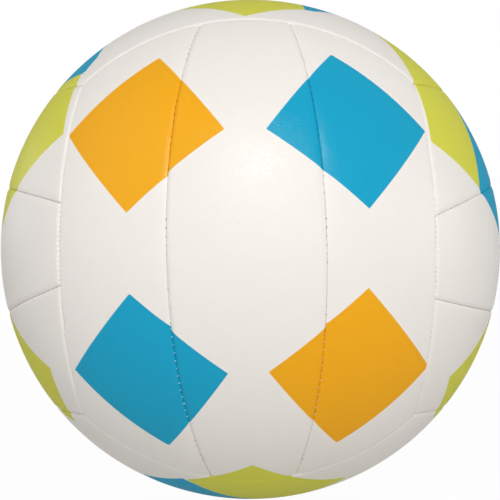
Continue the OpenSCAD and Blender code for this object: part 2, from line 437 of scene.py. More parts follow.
def print_plan() -> list[Diamond]:
    """Lays out the printed diamonds of the front and the sides, and mirrors them to the back.

    Returns:
        The shapes of the whole ball.
    """
    front, top, bottom, left, right = (
        group.spots for group in (Group.FRONT, Group.TOP, Group.BOTTOM, Group.LEFT, Group.RIGHT)
    )
    plan = [
        Diamond(
            Ink.ORANGE,
            front((-17.1, 39.5), (-3.8, 21.6), (-21.6, 6.5), (-37.0, 22.3)),
            (
                ("left", 1, *front((-3.8, 21.1), (-21.6, 6.5))),
                ("centre", 1, *front((-3.8, 21.6), (-21.6, 7.15))),
            ),
        ),
        Diamond(Ink.BLUE, front((16.3, 40.1), (36.6, 22.9), (22.1, 7.1), (3.5, 21.6))),
        Diamond(
            Ink.BLUE,
            front((-21.1, -7.7), (-3.3, -22.3), (-15.4, -40.5), (-35.6, -23.4)),
            (("left", 0, *front((-21.1, -7.7), (-3.3, -20.8))),),
        ),
        Diamond(
            Ink.ORANGE,
            front((21.9, -6.8), (37.3, -22.9), (17.2, -39.9), (3.8, -22.0)),
            (("right", 3, *front((3.8, -20.9), (21.9, -6.8))),),
        ),
        Diamond(Ink.GREEN, left((-23.6, 42.9)) + top((30.2, -36.8)) + left((-35.5, 8.0), (-3.5, 20.5))),
        Diamond(
            Ink.BLUE,
            top((31.0, -35.5), (27.6, -33.2), (8.0, -30.5), (3.0, -52.0))
            + left((-34.5, 10.5), (-33.0, 24.0)),
        ),
        Diamond(Ink.GREEN, left((24.6, 36.8)) + bottom((-27.9, -39.2)) + left((31.0, 9.0), (13.0, 20.5))),
        Diamond(Ink.GREEN, right((21.3, 45.2), (12.2, 33.0), (40.0, 13.0)) + top((14.0, 25.7))),
        Diamond(Ink.BLUE, right((12.0, 33.0), (2.6, 19.5), (24.0, 4.0), (38.0, 14.0), (20.0, 30.0))),
        Diamond(Ink.GREEN, right((-27.2, 33.4)) + bottom((-22.5, 42.7)) + right((-31.0, 8.0), (-13.5, 17.5))),
        Diamond(Ink.GREEN, top((36.0, -0.5), (17.2, -18.0), (4.0, -6.0), (5.0, 10.0), (26.4, 12.0))),
        Diamond(Ink.BLUE, top((27.0, 10.5), (25.8, 14.0), (14.0, 22.0), (7.5, 9.0), (10.0, 0.0))),
        Diamond(Ink.GREEN, bottom((-43.9, 0.8), (-32.9, -12.8), (-12.0, 7.0), (-24.5, 21.0))),
        Diamond(Ink.BLUE, bottom((-31.0, -11.0), (-32.9, -13.6), (-22.0, -23.5), (-4.0, -8.0), (-13.0, 6.0))),
    ]
    return plan + [drawn.mirrored() for drawn in plan]


@dataclass
class CoverPanel:
    """One strip of the cover: its leather skin and the foam under it, with turned-in edges."""

    group: Group
    side: int
    plan: SeamPlan
    prints: list[Diamond]
    cell: float = 0.62
    inner_cell: float = 8.0
    edge_rows: tuple[float, ...] = (0.0, 0.05, 0.11, 0.18, 0.32, 0.50, 0.72, 1.0, 1.4, 1.9, 2.5)
    inner_rows: tuple[float, ...] = (0.0, 1.2)
    hole_radius: float | None = None
    # Points within this share of the hole's radius go, and open edges within this many radii of its
    # axis are drawn to its rim
    hole_share: float = 0.93
    hole_reach: float = 3.0

    @property
    def name(self) -> str:
        """Name of the strip."""
        return self.group.strip(self.side)

    def edges(self, inset: float) -> tuple[Callable, Callable, Callable]:
        """The two long edges and the end of the strip on side 0 or 1.

        Args:
            inset: How far the edges stand off their seams, in radians.

        Returns:
            Azimuth of the left edge, azimuth of the right edge, and elevation of the end.
        """
        plan = self.plan
        if self.side == 0:
            return (
                lambda elevation: -plan.inner_azimuth(-elevation, -inset),
                lambda elevation: plan.inner_azimuth(elevation, -inset),
                lambda azimuth: plan.end_elevation(azimuth, inset),
            )
        return (
            lambda elevation: plan.inner_azimuth(elevation, inset),
            lambda elevation: plan.side_azimuth(elevation, inset),
            lambda azimuth: plan.end_elevation(azimuth, inset),
        )

    def corner(self, edge: Callable, end: Callable, sign: int) -> tuple[float, float]:
        """Azimuth and elevation at which a long edge meets an end of the strip."""
        azimuth = CORNER_START
        for _ in range(CORNER_ROUNDS):
            elevation = sign * end(azimuth)
            azimuth = edge(elevation)
        return float(azimuth), float(elevation)

    def spread(self, u: Array, v: Array, inset: float) -> Array:
        """Lays shares of the strip's width and length on the ball, between its seams.

        Args:
            u: Shares of the width.
            v: Shares of the length.
            inset: How far the edges stand off their seams, in radians.

        Returns:
            Unit vectors in the group's axes, of side 0 or 1.
        """
        left, right, end = self.edges(inset)
        (a00, e00), (a10, e10) = self.corner(left, end, -1), self.corner(right, end, -1)
        (a01, e01), (a11, e11) = self.corner(left, end, 1), self.corner(right, end, 1)
        e_left, e_right = e00 + v * (e01 - e00), e10 + v * (e11 - e10)
        a_low, a_high = a00 + u * (a10 - a00), a01 + u * (a11 - a01)
        azimuth = (1 - u) * left(e_left) + u * right(e_right) + (1 - v) * a_low + v * a_high
        azimuth -= (1 - u) * ((1 - v) * a00 + v * a01) + u * ((1 - v) * a10 + v * a11)
        elevation = (1 - u) * e_left + u * e_right - (1 - v) * end(a_low) + v * end(a_high)
        elevation -= (1 - u) * ((1 - v) * e00 + v * e01) + u * ((1 - v) * e10 + v * e11)
        return towards(azimuth, elevation)

    def steps(self, length: float, cell: float, edge_rows: Iterable[float]) -> Array:
        """Shares of a length at which rows of cells lie, closer together at both ends."""
        near = np.array(list(edge_rows))
        count = max(2, round((length - 2 * near[-1]) / cell))
        middle = np.linspace(near[-1], length - near[-1], count + 1)
        return np.concatenate([near[:-1], middle, length - near[:-1][::-1]]) / length

    def sheet(self, cell: float, edge_rows: Iterable[float]) -> tuple[Mesh, Array]:
        """Makes a grid over the strip.

        Args:
            cell: Size of the grid's cells, in millimetres.
            edge_rows: Distances of the first rows from the edges.

        Returns:
            The grid as a mesh, and the direction of each of its points in the group's axes.
        """
        inset = SEAM_GAP / 2 / BALL_RADIUS
        spans = self.spread(np.array([0.0, 1.0, 0.5, 0.5]), np.array([0.5, 0.5, 0.0, 1.0]), inset)
        width = np.arccos(spans[0] @ spans[1]) * BALL_RADIUS
        length = np.arccos(spans[2] @ spans[3]) * BALL_RADIUS
        shares_u = self.steps(width, cell, edge_rows)
        shares_v = self.steps(length, cell, edge_rows)
        bm = bmesh.new()
        bmesh.ops.create_grid(bm, x_segments=len(shares_u) - 1, y_segments=len(shares_v) - 1, size=0.5)
        mesh = mesh_of(bm, f"{self.name}_cover")
        flat = read_points(mesh)
        across = np.rint((flat[:, 0] + 0.5) * (len(shares_u) - 1)).astype(int)
        along = np.rint((flat[:, 1] + 0.5) * (len(shares_v) - 1)).astype(int)
        return mesh, self.spread(shares_u[across], shares_v[along], inset)

    def seams(self, points: Array) -> tuple[Array, Array]:
        """Distances from the seams round the strip and along them.

        Args:
            points: Unit vectors in the group's axes, of side 0 or 1.

        Returns:
            Millimetres off the nearest inner seam, the side seam (which the centre strip hasn't) and
            the nearest end, and millimetres along them.
        """
        plan, turned = self.plan, points * HALF_TURNED

        def run(about: Array, ahead: Array, aside: Array) -> Array:
            return np.arctan2(about @ aside, about @ ahead) * math.sin(plan.cone) * BALL_RADIUS

        across, along = np.array([0.0, 1.0, 0.0]), np.array([0.0, 0.0, 1.0])
        inner = np.arcsin(points @ plan.inner_normal) * BALL_RADIUS
        inner_run = np.arcsin(np.clip(points[:, 2], -1, 1)) * BALL_RADIUS
        if self.side == 0:
            inner = np.minimum(-inner, -np.arcsin(turned @ plan.inner_normal) * BALL_RADIUS)
            side, side_run = np.full(len(points), FAR), np.zeros(len(points))
        else:
            side = (np.arccos(points @ plan.side_axis) - plan.cone) * BALL_RADIUS
            side_run = run(points, np.array([math.cos(plan.tilt), math.sin(plan.tilt), 0.0]), along)
        ahead = np.array([math.sin(plan.tilt), 0.0, math.cos(plan.tilt)])
        far, near = ((plan.cone - np.arccos(way @ plan.end_axis)) * BALL_RADIUS for way in (points, turned))
        end_run = np.where(far < near, run(points, ahead, across), run(turned, ahead, across))
        return np.array([inner, side, np.minimum(far, near)]), np.array([inner_run, side_run, end_run])

    def world(self, points: Array) -> Array:
        """Turns directions of side 0 or 1 to this strip's own side and group."""
        return (points * HALF_TURNED if self.side < 0 else points) @ self.group.axes

    def build(self) -> Object:
        """Makes the strip: a fine outer sheet, walls down its seams and a coarse inner sheet."""
        outer, points = self.sheet(self.cell, self.edge_rows)
        edges = TAUT if self.group.is_taut else PUFFED
        profiles = (edges.flank if self.side else edges.centre, edges.outer, edges.outer)
        drops = [profile.drop(off, run) for profile, off, run in zip(profiles, *self.seams(points))]
        drop = np.hypot(drops[0], np.hypot(drops[1], drops[2]))
        write_points(outer, self.world(points) * ((BALL_RADIUS - drop) * MM)[:, None])
        inner, inner_points = self.sheet(self.inner_cell, self.inner_rows)
        write_points(inner, self.world(inner_points) * LINING_RADIUS * MM)
        bm = bmesh.new()
        bm.from_mesh(outer)
        if self.hole_radius:
            self.open_hole(bm)
        walls = []
        for loop in boundary_loops(bm):
            made = bmesh.ops.extrude_edge_only(bm, edges=loop)["geom"]
            for vertex in (v for v in made if isinstance(v, BMVert)):
                vertex.co = vertex.co.normalized() * LINING_RADIUS * MM
            walls.append([edge for edge in made if isinstance(edge, BMEdge)])
        outer_count = len(bm.verts)
        bm.from_mesh(inner)
        bm.verts.ensure_lookup_table()
        if self.hole_radius:
            self.open_hole(bm, first=outer_count)
        inner_rims = boundary_loops(bm, first=outer_count)
        for wall, rim in zip(sort_by_size(walls), sort_by_size(inner_rims)):
            wall = [edge for edge in wall if edge.is_valid and edge.is_boundary]
            bmesh.ops.bridge_loops(bm, edges=wall + rim)
        bmesh.ops.recalc_face_normals(bm, faces=bm.faces)
        mesh = mesh_of(bm, f"{self.name}_cover")
        bpy.data.meshes.remove(outer)
        bpy.data.meshes.remove(inner)
        mesh.shade_smooth()
        self.mark(mesh)
        return finished(mesh, f"{self.name}_cover")

    def open_hole(self, bm: BMesh, first: int = 0) -> None:
        """Opens the valve's hole in the sheet whose points start at a number."""
        middle = Vector(self.group.value[1])
        radius = self.hole_radius * MM
        bm.verts.ensure_lookup_table()

        def off_axis(vertex: BMVert) -> Vector:
            return vertex.co - middle * vertex.co.dot(middle)

        facing = {v for v in bm.verts[first:] if v.co.dot(middle) > 0}
        inside = [v for v in facing if off_axis(v).length < radius * self.hole_share]
        bmesh.ops.delete(bm, geom=inside, context="VERTS")
        for vertex in (v for v in facing if v.is_valid and v.is_boundary):
            aside = off_axis(vertex)
            if aside.length < radius * self.hole_reach:
                height = math.sqrt(vertex.co.length_squared - radius * radius)
                vertex.co = aside.normalized() * radius + middle * height

    def mark(self, mesh: Mesh) -> None:
        """Moves the strip's points with the seams, and writes where the prints and the seams lie on them."""
        own, world = stray(mesh, self.group, self.plan)
        offs, runs = self.seams(own * HALF_TURNED if self.side < 0 else own)
        taut = self.group.is_taut
        pitches = np.array([STITCH_PITCH if taut else RIM_PITCH, RIM_PITCH, RIM_PITCH])
        nearest = np.argmin(offs, axis=0)
        each = np.arange(len(own))
        write_attribute(mesh, "seam_off", offs[nearest, each])
        write_attribute(mesh, "seam_stitch", runs[nearest, each] / pitches[nearest])
        # The edges that lie askew are named after the strips of the front and the back
        strip = self.group.value[3][self.side + 1] if taut else ""
        for ink in Ink:
            depths = [drawn.depth(world, strip) for drawn in self.prints if drawn.ink is ink]
            write_attribute(mesh, ink.value[0], np.max(depths, axis=0))


def read_points(mesh: Mesh) -> Array:
    """Points of a mesh, one a row."""
    flat = np.empty(len(mesh.vertices) * 3)
    mesh.vertices.foreach_get("co", flat)
    return flat.reshape(-1, 3)


def write_points(mesh: Mesh, points: Array) -> None:
    """Moves the points of a mesh."""
    mesh.vertices.foreach_set("co", points.astype(np.float32).ravel())


def write_attribute(mesh: Mesh, name: str, values: Array) -> None:
    """Gives each point of a mesh a number under a name."""
    attribute = mesh.attributes.new(name, "FLOAT", "POINT")
    attribute.data.foreach_set("value", values.astype(np.float32))


def mesh_of(bm: BMesh, name: str) -> Mesh:
    """Turns an edited mesh into a named one, and frees it."""
    mesh = bpy.data.meshes.new(name)
    bm.to_mesh(mesh)
    bm.free()
    return mesh


def stray(mesh: Mesh, group: Group, plan: SeamPlan) -> tuple[Array, Array]:
    """Moves the points of a mesh along with its group's straying seams.

    Args:
        mesh: Mesh to move.
        group: Group that it belongs to.
        plan: Where the group's seams would run.

    Returns:
        Directions of the points before, in the group's axes, and after, in the ball's.
    """
    points = read_points(mesh)
    radii = np.linalg.norm(points, axis=1)[:, None]
    own = points / radii @ group.axes.T
    world = DRIFTS.get(group, SeamDrift()).moved(own, plan) @ group.axes
    write_points(mesh, world * radii)
    return own, world


def boundary_loops(bm: BMesh, first: int = 0) -> list[list[BMEdge]]:
    """Open edges of a mesh, loop by loop.

    Args:
        bm: Mesh to look at.
        first: Number of the first point that counts.

    Returns:
        The edges of each loop.
    """
    bm.verts.index_update()
    open_edges = {e for e in bm.edges if e.is_boundary and e.verts[0].index >= first}
    loops = []
    while open_edges:
        edge = open_edges.pop()
        loop, waiting = [edge], list(edge.verts)
        while waiting:
            for near in [e for e in waiting.pop().link_edges if e in open_edges]:
                open_edges.discard(near)
                loop.append(near)
                waiting.extend(near.verts)
        loops.append(loop)
    return loops


def sort_by_size(loops: list[list[BMEdge]]) -> list[list[BMEdge]]:
    """Loops of edges, the longest first."""
    return sorted(loops, key=lambda loop: -sum(edge.calc_length() for edge in loop if edge.is_valid))


def finished(mesh: Mesh, name: str) -> Object:
    """Makes an object of a mesh whose place is in its points."""
    piece = bpy.data.objects.new(name, mesh)
    bpy.context.scene.collection.objects.link(piece)
    return piece


def dress(piece: Object, material: Material, slot: str, *nodes: str) -> None:
    """Gives a piece its material, hangs it under the ball's root and hides the CAD parts that it replaces."""
    piece.data.materials.clear()
    piece.data.materials.append(material)
    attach(piece, "root")
    if nodes:
        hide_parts(*nodes)
    LOG.info("%s: %d points", piece.name, len(piece.data.vertices))


@dataclass(frozen=True)
class CoverLeather:
    """Foam-backed PU synthetic leather, embossed with a fine pebble and screen printed.

    It looks matte with a soft satin sheen. The ink sits in the pebble, so it shares its grain. The shade in
    the seams' creases and gaps is painted into its colour.
    """

    base: str = "F0EBE5"
    roughness: float = 0.6
    # The thin clear top coat gives the satin sheen, and hardly whitens the ball's rim
    lacquer: float = 0.102
    lacquer_index: float = 2.2
    lacquer_roughness: float = 0.16
    # Real pebbles are 0.4 mm wide, which is one pixel here, so they are drawn a little coarser
    pebble: float = 0.62
    pebble_spread: float = 0.9
    pebble_slope: tuple[float, float] = (0.1, 0.75)
    pebble_height: float = 0.030
    # The top coat lies thicker on the pebbles, so its glints are stronger than their shading
    lacquer_height: float = 0.055
    print_softness: float = 0.10
    wave: float = 14.0
    wave_height: float = 0.10
    # Between two stitches the seam gapes a little, here more and there less; the shade in these gaps is
    # painted into the colour as dark dashes
    gape_share: float = 0.17
    gape_width: float = 0.22
    gape_fade: tuple[float, float] = (1.3, 0.5)
    gape_patches: float = 0.4
    gape_chance: tuple[float, float] = (0.40, 0.60)
    gape_shade: float = 0.85
    painted_gap_shade_tint: str = "9D9489"
    # A thin painted shade also darkens the colour along the crease of every seam
    crease_width: float = 0.24
    crease_shade: float = 0.26

    def stored(self, tree: NodeTree, name: str) -> NodeSocket:
        """Reads a number that the strip's points carry."""
        return add_node(tree, "ShaderNodeAttribute", attribute_name=name).outputs["Fac"]

    def number(self, tree: NodeTree, operation: str, *values: object) -> NodeSocket:
        """Works out a number from others."""
        return add_node(tree, "ShaderNodeMath", dict(enumerate(values)), operation=operation).outputs[0]

    def painted_seam_shade(self, tree: NodeTree, place: NodeSocket) -> NodeSocket:
        """Paints shade into the creases at the seams, darker where they gape between their stitches."""
        stitches, off = self.stored(tree, "seam_stitch"), self.stored(tree, "seam_off")
        between = self.number(tree, "ADD", self.number(tree, "FLOOR", stitches), 0.5)
        along = self.number(tree, "SUBTRACT", stitches, between)
        along = self.number(tree, "DIVIDE", along, self.gape_share)
        across = self.number(tree, "DIVIDE", off, self.gape_width)
        squares = [self.number(tree, "MULTIPLY", value, value) for value in (along, across)]
        distance = self.number(tree, "SQRT", self.number(tree, "ADD", *squares))
        mark = ramp(tree, distance, self.gape_fade)
        patches = {"Vector": place, "Scale": self.gape_patches / (STITCH_PITCH * MM)}
        chance = add_node(tree, "ShaderNodeTexNoise", patches).outputs["Fac"]
        depth = ramp(tree, chance, self.gape_chance, kind="LINEAR")
        crease = ramp(tree, off, (0.0, self.crease_width), (self.crease_shade, 0.0))
        return self.number(tree, "MAXIMUM", self.number(tree, "MULTIPLY", mark, depth), crease)

    def material(self) -> Material:
        """Makes the leather's material."""
        material, shader = new_material("screen_printed_pu_leather")
        tree = material.node_tree
        place = coordinates(tree)
        colour = linear(self.base)
        for ink in Ink:
            printed = ramp(tree, self.stored(tree, ink.value[0]), (-self.print_softness, self.print_softness))
            colour = mix_colours(tree, printed, colour, linear(ink.value[1]))
        # Painted shade: the colour is darkened along the seams' creases and in the gaps between their
        # stitches
        shade = self.number(tree, "MULTIPLY", self.painted_seam_shade(tree, place), self.gape_shade)
        darkened = mix_colours(tree, shade, colour, linear(self.painted_gap_shade_tint), blend="MULTIPLY")
        tree.links.new(darkened, shader.inputs["Base Color"])
        shader.inputs["Roughness"].default_value = self.roughness
        shader.inputs["Specular IOR Level"].default_value = 0.0
        shader.inputs["Coat Weight"].default_value = self.lacquer
        shader.inputs["Coat Roughness"].default_value = self.lacquer_roughness
        shader.inputs["Coat IOR"].default_value = self.lacquer_index
        cells = {"Vector": place, "Scale": 1 / (self.pebble * MM), "Randomness": self.pebble_spread}
        pebbles = add_node(tree, "ShaderNodeTexVoronoi", cells, feature="F1").outputs["Distance"]
        domes = ramp(tree, pebbles, self.pebble_slope, (1.0, 0.0))
        sways = {"Vector": place, "Scale": 1 / (self.wave * MM), "Detail": 1.0}
        waves = raised(tree, add_node(tree, "ShaderNodeTexNoise", sways).outputs["Fac"], self.wave_height)
        for socket, height in (("Normal", self.pebble_height), ("Coat Normal", self.lacquer_height)):
            grain = raised(tree, domes, height)
            tree.links.new(waves.outputs["Normal"], grain.inputs["Normal"])
            tree.links.new(grain.outputs["Normal"], shader.inputs[socket])
        return material


@dataclass
class Cover:
    """The eighteen strips of the cover."""

    plan: SeamPlan = SeamPlan()
    finish: CoverLeather = CoverLeather()
    valve_hole_radius: float = 3.45
    # Size of the inner sheet's cells in the strip that has the valve's hole
    hole_cell: float = 1.6

    def build(self) -> None:
        """Makes every strip and dresses it."""
        prints = print_plan()
        leather = self.finish.material()
        for group in Group:
            for side in (-1, 0, 1):
                panel = CoverPanel(group, side, self.plan, prints)
                if group is Group.BACK and side == 0:
                    panel.hole_radius, panel.inner_cell = self.valve_hole_radius, self.hole_cell
                dress(panel.build(), leather, "cover_leather", f"{panel.name}_panel", f"{panel.name}_backing")


@dataclass(frozen=True)
class PolyesterThread:
    """Bonded polyester sewing thread, twisted from filaments, which shines a little along its lay."""

    colour: str = "EDEAE4"
    roughness: float = 0.5
    # The lay of the twist is 0.6 mm long
    lay: float = 0.6
    lay_waviness: float = 0.5
    lay_height: float = 0.05
    lay_strength: float = 0.8

    def material(self) -> Material:
        """Makes the thread's material."""
        material, shader = new_material("bonded_polyester_thread")
        tree = material.node_tree
        shader.inputs["Base Color"].default_value = linear(self.colour)
        shader.inputs["Roughness"].default_value = self.roughness
        bands = {
            "Vector": coordinates(tree),
            "Scale": 1 / (self.lay * MM) / math.tau,
            "Distortion": self.lay_waviness,
        }
        twist = add_node(tree, "ShaderNodeTexWave", bands, bands_direction="DIAGONAL").outputs["Fac"]
        bump = raised(tree, twist, self.lay_height, self.lay_strength)
        tree.links.new(bump.outputs["Normal"], shader.inputs["Normal"])
        return material


@dataclass(frozen=True)
class Seam:
    """A seam as an arc on a cone: the cone's axis, the way out to the arc's middle and the way along it.

    The cone has its half angle, and the arc has its angles before and after its middle.
    """

    axis: Array
    ahead: Array
    along: Array
    cone: float
    before: float
    after: float

    def laid(self, turn: Array, axes: Array) -> "Seam":
        """The same seam, turned within its group and laid on the ball."""
        ways = ((way * turn) @ axes for way in (self.axis, self.ahead, self.along))
        return Seam(*ways, self.cone, self.before, self.after)

    def point(self, angle: float, radius: float) -> Array:
        """Point on the seam, at an angle from its middle and a distance from the ball's middle."""
        out = math.cos(angle) * self.ahead + math.sin(angle) * self.along
        return radius * (math.cos(self.cone) * self.axis + math.sin(self.cone) * out)


@dataclass
class SeamStitching:
    """The thread in a group's two side seams and two inner seams: a line of it, and its stitches."""

    group: Group
    plan: SeamPlan
    line_radius: float = 0.18
    line_depth: float = 2.2
    stitch_depth: float = 0.52
    stitch_depth_spread: float = 0.10
    # The stitches of the upper half are pulled in tighter and show less
    tightness: float = 0.9
    # The stitches of the other seams lie deeper, where the strips hide them
    hidden_depth: float = 1.4
    stitch_half_width: float = 0.14
    stitch_half_length: float = 0.26
    # How far a stitch leans, in radians, and the shares that its size varies between
    stitch_lean: float = 0.2
    stitch_sizes: tuple[float, float] = (0.7, 1.1)
    # Where the way ahead from a stitch is taken, as a share of the pitch
    ahead_share: float = 0.1
    trim: float = 0.5
    line_step: float = 1.6
    seed: int = 11

    def seams(self) -> list[Seam]:
        """The side seam and the inner seam on the positive side, in the group's axes."""
        plan = self.plan
        tilt, twist, strip = plan.tilt, plan.twist, plan.strip_angle
        side_ahead = np.array([math.cos(tilt), math.sin(tilt), 0.0])
        side_end = math.atan(1 / (math.cos(tilt) + math.sin(tilt)))
        inner_ahead = np.array(
            [math.cos(strip), math.sin(strip) * math.cos(twist), math.sin(strip) * math.sin(twist)]
        )
        inner_along = np.array([0.0, -math.sin(twist), math.cos(twist)])
        ends = self.inner_end(-1), self.inner_end(1)
        return [
            Seam(plan.side_axis, side_ahead, np.array([0.0, 0.0, 1.0]), plan.cone, side_end, side_end),
            Seam(plan.inner_normal, inner_ahead, inner_along, math.pi / 2, *ends),
        ]

    def inner_end(self, end: int) -> float:
        """Angle along an inner seam from its middle to the end seam at end -1 or 1."""
        plan = self.plan
        lean = end * math.sin(plan.strip_angle) * math.sin(plan.twist) * math.sin(plan.tilt)
        across = math.cos(plan.strip_angle) * math.cos(plan.tilt) - lean
        along = math.cos(plan.twist) * math.sin(plan.tilt)
        return math.acos(math.cos(plan.cone) / math.hypot(across, along)) - math.atan(along / across)

    def build(self) -> Object:
        """Makes the thread of the group's four seams."""
        rng = np.random.default_rng(list(Group).index(self.group) + self.seed)
        bm = bmesh.new()
        turns = (np.ones(3), HALF_TURNED)
        seams = [seam.laid(turn, self.group.axes) for turn in turns for seam in self.seams()]
        for seam in seams:
            self.line(bm, seam)
        ball = bmesh.new()
        bmesh.ops.create_uvsphere(ball, u_segments=8, v_segments=5, radius=1.0)
        stitch = mesh_of(ball, "stitch")
        points = read_points(stitch)
        for place in (place for seam in seams for place in self.stitches(seam, rng)):
            turned = np.array(place)
            write_points(stitch, points @ turned[:3, :3].T + turned[:3, 3])
            bm.from_mesh(stitch)
        bpy.data.meshes.remove(stitch)
        bmesh.ops.recalc_face_normals(bm, faces=bm.faces)
        mesh = mesh_of(bm, f"{self.group.title}_stitching")
        mesh.shade_smooth()
        stray(mesh, self.group, self.plan)
        return finished(mesh, f"{self.group.title}_stitching")

    def line(self, bm: BMesh, seam: Seam) -> None:
        """Runs the thread along a seam, under the turned-in edges."""
        trim = self.trim / BALL_RADIUS
        sweep = seam.before + seam.after - 2 * trim
        start = Vector(seam.point(trim - seam.before, BALL_RADIUS - self.line_depth) * MM)
        axis = Vector(seam.axis)
        out = start.normalized()
        forward = axis.cross(out).normalized()
        frame_of = Matrix((out, forward.cross(out), forward)).transposed().to_4x4()
        place = Matrix.Translation(start) @ frame_of
        thickness = self.line_radius * MM
        made = bmesh.ops.create_circle(bm, cap_ends=True, segments=6, radius=thickness, matrix=place)
        face = made["verts"][0].link_faces[0]
        steps = round(sweep * BALL_RADIUS * math.sin(seam.cone) / self.line_step)
        turned = sweep if seam.along @ np.cross(seam.axis, seam.ahead) > 0 else -sweep
        bmesh.ops.spin(
            bm, geom=[face, *face.edges, *face.verts], cent=(0, 0, 0), axis=axis, angle=turned, steps=steps
        )

    def stitches(self, seam: Seam, rng: np.random.Generator) -> Iterable[Matrix]:
        """Finds where the stitches lie across a seam.

        Args:
            seam: The seam, laid on the ball.
            rng: Source of the stitches' unevenness.

        Yields:
            The place, turn and size of each stitch.
        """
        step = STITCH_PITCH / (BALL_RADIUS * math.sin(seam.cone))
        trim = self.trim / BALL_RADIUS
        half = np.array([self.stitch_half_width, self.stitch_half_width, self.stitch_half_length]) * MM
        shown = self.group.is_taut and math.isclose(seam.cone, math.pi / 2)
        usual = self.stitch_depth if shown else self.hidden_depth
        first, last = math.ceil((trim - seam.before) / step), math.floor((seam.after - trim) / step)
        for count in range(first, last + 1):
            up = seam.point(count * step, 1.0)[2] > 0
            depth = usual + self.tightness * up + rng.normal() * self.stitch_depth_spread
            middle = Vector(seam.point(count * step, BALL_RADIUS - depth)) * MM
            out = middle.normalized()
            further = seam.point((count + self.ahead_share) * step, BALL_RADIUS - depth)
            ahead = Vector(further) * MM - middle
            ahead = (ahead - out * ahead.dot(out)).normalized()
            lean = Matrix.Rotation(rng.normal() * self.stitch_lean, 4, "X")
            basis = Matrix((out, ahead, out.cross(ahead))).transposed().to_4x4()
            size = Vector((*(half * rng.uniform(*self.stitch_sizes)), 1.0))
            yield Matrix.Translation(middle) @ basis @ lean @ Matrix.Diagonal(size)


@dataclass
class Stitching:
    """The thread of the whole cover."""

    plan: SeamPlan = SeamPlan()
    finish: PolyesterThread = PolyesterThread()

    def build(self) -> None:
        """Makes the thread of each group and dresses it."""
        thread = self.finish.material()
        for group in Group:
            piece = SeamStitching(group, self.plan).build()
            dress(piece, thread, "seam_thread", f"{group.title}_seam_thread")


@dataclass(frozen=True)
class ValveRubber:
    """Moulded rubber of the valve, the core or the bladder: dull, with a faint bloom."""

    name: str
    colour: str
    bloom: str
    roughness: float = 0.6
    mottle: float = 1.5
    bloom_span: tuple[float, float] = (0.4, 0.8)
    bloom_share: float = 0.5
    grain: float = 0.25
    grain_height: float = 0.01

    def material(self) -> Material:
        """Makes the rubber's material."""
        material, shader = new_material(self.name)
        tree = material.node_tree
        place = coordinates(tree)
        clouds, grains = (
            add_node(tree, "ShaderNodeTexNoise", {"Vector": place, "Scale": 1 / (size * MM), "Detail": fine})
            for size, fine in ((self.mottle, 3.0), (self.grain, 2.0))
        )
        share = ramp(tree, clouds.outputs["Fac"], self.bloom_span, (0.0, self.bloom_share), "LINEAR")
        colour = mix_colours(tree, share, linear(self.colour), linear(self.bloom))
        tree.links.new(colour, shader.inputs["Base Color"])
        shader.inputs["Roughness"].default_value = self.roughness
        bump = raised(tree, grains.outputs["Fac"], self.grain_height)
        tree.links.new(bump.outputs["Normal"], shader.inputs["Normal"])
        return material


@dataclass(frozen=True)
class WovenCloth:
    """Plain-woven polyester cloth of the washer, with threads 0.35 mm apart."""

    colour: str = "C9C6BF"
    shade: str = "8F8B84"
    thread: float = 0.35
    thread_height: float = 0.05
    roughness: float = 0.9

    def material(self) -> Material:
        """Makes the cloth's material."""
        material, shader = new_material("woven_polyester_cloth")
        tree = material.node_tree
        threads = {
            "Vector": coordinates(tree),
            "Color1": linear(self.colour),
            "Color2": linear(self.shade),
            "Scale": 1 / (self.thread * MM),
        }
        weave = add_node(tree, "ShaderNodeTexChecker", threads)
        tree.links.new(weave.outputs["Color"], shader.inputs["Base Color"])
        shader.inputs["Roughness"].default_value = self.roughness
        bump = raised(tree, weave.outputs["Fac"], self.thread_height)
        tree.links.new(bump.outputs["Normal"], shader.inputs["Normal"])
        return material


